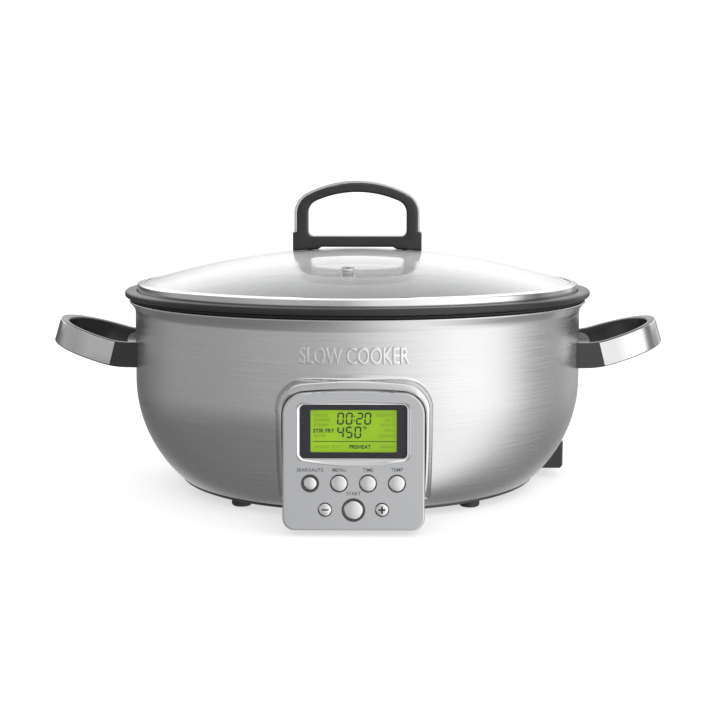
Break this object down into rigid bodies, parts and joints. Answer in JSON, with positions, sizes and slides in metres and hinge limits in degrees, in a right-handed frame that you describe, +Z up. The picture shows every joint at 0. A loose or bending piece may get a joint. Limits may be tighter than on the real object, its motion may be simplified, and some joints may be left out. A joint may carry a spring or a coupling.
{
  "type": "slow cooker",
  "caption": "Round programmable slow cooker: brushed steel bowl housing, lift-out pot with rolled rim, domed glass lid with arched handle, steel-banded side handles and a push-button LCD panel.",
  "frame": {"origin": "on the floor, on the axis of the bowl, midway between the four feet", "axes": "+Z up along the bowl axis; +X towards the handle that is on the right when the control panel faces the user; the control panel faces -Y"},
  "size_m": [0.4496, 0.3481, 0.221],
  "materials": {
    "housing_steel": "brushed",
    "polished_steel": "polished",
    "hidden_steel": "plain",
    "pot_coating": "satin ceramic coating",
    "cast_plate": "cast",
    "lid_glass": "tempered",
    "black_plastic": "fine grain",
    "ring_plastic": "matte",
    "rubber": "matte",
    "panel_silver": "satin silver",
    "button_chrome": "polished",
    "collar_dark": "satin",
    "lens": "clear",
    "lens_frame": "gloss",
    "display": "backlit",
    "circuit_board": "solder mask",
    "fibre": "needled fibre",
    "component_black": "moulded",
    "winding": "varnished",
    "lead_cover": "silicone",
    "brass_parts": "plain",
    "silicone": "matte"
  },
  "bodies": {
    "housing": {"housing_shell": "housing_steel", "panel_surround": "housing_steel", "support_ring": "ring_plastic", "inner_well": "hidden_steel", "insulation_blanket": "fibre", "heating_plate": "cast_plate", "heating_element": "hidden_steel", "element_terminals": "brass_parts", "plate_screws": "hidden_steel", "reflector_plate": "hidden_steel", "sensor_bracket": "hidden_steel", "sensor_spring": "hidden_steel", "thermal_fuse": "component_black", "base_plate": "black_plastic", "feet": "rubber", "base_screws": "hidden_steel", "power_board": "circuit_board", "board_standoffs": "component_black", "board_screws": "hidden_steel", "relay": "component_black", "transformer": "winding", "capacitors": "component_black", "internal_leads": "lead_cover", "power_inlet_housing": "black_plastic", "inlet_pins": "brass_parts", "right_handle_grip": "black_plastic", "right_handle_band": "polished_steel", "right_handle_brackets": "polished_steel", "left_handle_grip": "black_plastic", "left_handle_band": "polished_steel", "left_handle_brackets": "polished_steel", "handle_screws": "hidden_steel", "panel_face": "panel_silver", "lcd_bezel": "button_chrome", "lcd_lens": "lens", "lcd_frame": "lens_frame", "lcd_module": "display", "button_collars": "collar_dark", "button_board": "circuit_board", "dome_switches": "component_black", "control_housing": "black_plastic", "panel_screws": "hidden_steel"},
    "sensor": {"temperature_sensor": "hidden_steel"},
    "pot": {"cooking_pot": "pot_coating"},
    "lid": {"lid_glass": "lid_glass", "lid_band": "polished_steel", "steam_vent": "polished_steel", "lid_handle_grip": "black_plastic", "lid_handle_strap": "polished_steel", "lid_screws": "hidden_steel", "lid_washers": "silicone"},
    "sear_button": {"button_sear": "button_chrome"},
    "menu_button": {"button_menu": "button_chrome"},
    "time_button": {"button_time": "button_chrome"},
    "temp_button": {"button_temp": "button_chrome"},
    "minus_button": {"button_minus": "button_chrome"},
    "start_button": {"button_start": "button_chrome"},
    "plus_button": {"button_plus": "button_chrome"}
  },
  "joints": [
    {"name": "pot_lift", "type": "slide", "parent": "housing", "child": "pot", "axis": [0, 0, 1], "range_m": [0, 0.13]},
    {"name": "lid_lift", "type": "slide", "parent": "pot", "child": "lid", "axis": [0, 0, 1], "range_m": [0, 0.09]},
    {"name": "sensor_press", "type": "slide", "parent": "housing", "child": "sensor", "axis": [0, 0, 1], "range_m": [-0.0025, 0], "stiffness_N_per_m": 300, "springref_m": 0.002, "deforming": ["sensor_spring"]},
    {"name": "sear_press", "type": "slide", "parent": "housing", "child": "sear_button", "axis": [0, 0.9962, -0.0872], "range_m": [0, 0.0008], "stiffness_N_per_m": 500, "springref_m": -0.0006},
    {"name": "menu_press", "type": "slide", "parent": "housing", "child": "menu_button", "axis": [0, 0.9962, -0.0872], "range_m": [0, 0.0008], "stiffness_N_per_m": 500, "springref_m": -0.0006},
    {"name": "time_press", "type": "slide", "parent": "housing", "child": "time_button", "axis": [0, 0.9962, -0.0872], "range_m": [0, 0.0008], "stiffness_N_per_m": 500, "springref_m": -0.0006},
    {"name": "temp_press", "type": "slide", "parent": "housing", "child": "temp_button", "axis": [0, 0.9962, -0.0872], "range_m": [0, 0.0008], "stiffness_N_per_m": 500, "springref_m": -0.0006},
    {"name": "minus_press", "type": "slide", "parent": "housing", "child": "minus_button", "axis": [0, 0.9962, -0.0872], "range_m": [0, 0.0008], "stiffness_N_per_m": 500, "springref_m": -0.0006},
    {"name": "start_press", "type": "slide", "parent": "housing", "child": "start_button", "axis": [0, 0.9962, -0.0872], "range_m": [0, 0.0008], "stiffness_N_per_m": 500, "springref_m": -0.0006},
    {"name": "plus_press", "type": "slide", "parent": "housing", "child": "plus_button", "axis": [0, 0.9962, -0.0872], "range_m": [0, 0.0008], "stiffness_N_per_m": 500, "springref_m": -0.0006}
  ]
}
